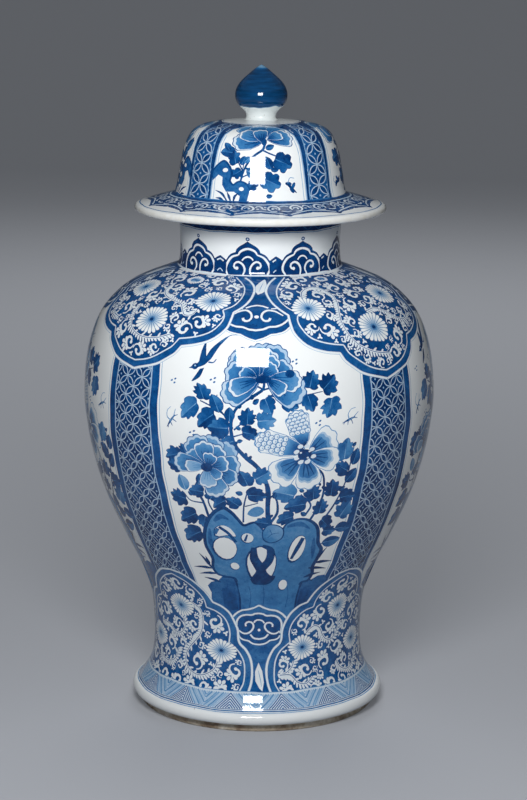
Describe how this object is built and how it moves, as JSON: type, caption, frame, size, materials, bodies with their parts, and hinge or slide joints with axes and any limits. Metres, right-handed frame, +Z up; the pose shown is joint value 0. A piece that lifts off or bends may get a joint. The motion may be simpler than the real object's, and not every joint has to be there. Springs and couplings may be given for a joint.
{
  "type": "covered baluster jar",
  "caption": "Tall porcelain baluster jar with a domed, wide-brimmed cover that lifts off by its bud knob, painted in underglaze blue.",
  "frame": {"origin": "centre of the foot, on the surface that the jar stands on", "axes": "+Z up along the jar's axis; -Y faces the viewer of the main painted panel; +X to that viewer's right"},
  "size_m": [0.3318, 0.3318, 0.61],
  "materials": {
    "painted_glaze": "cobalt blue painting under a clear, faintly blue gloss glaze on white porcelain",
    "plain_glaze": "clear, faintly blue gloss glaze on white porcelain",
    "bare_porcelain": "bare fired porcelain, matte, stained brown where it meets the glaze"
  },
  "bodies": {
    "jar": {"foot_ring": "bare_porcelain", "base_plate": "plain_glaze", "foot_flare": "painted_glaze", "lower_body": "painted_glaze", "upper_body": "painted_glaze", "shoulder": "painted_glaze", "neck": "painted_glaze"},
    "cover": {"cover_collar": "bare_porcelain", "cover_brim": "painted_glaze", "cover_dome": "painted_glaze", "knob_stem": "plain_glaze", "knob_bud": "painted_glaze"}
  },
  "joints": [
    {"name": "cover_lift", "type": "slide", "parent": "jar", "child": "cover", "axis": [0, 0, 1], "range_m": [0, 0.2]}
  ]
}
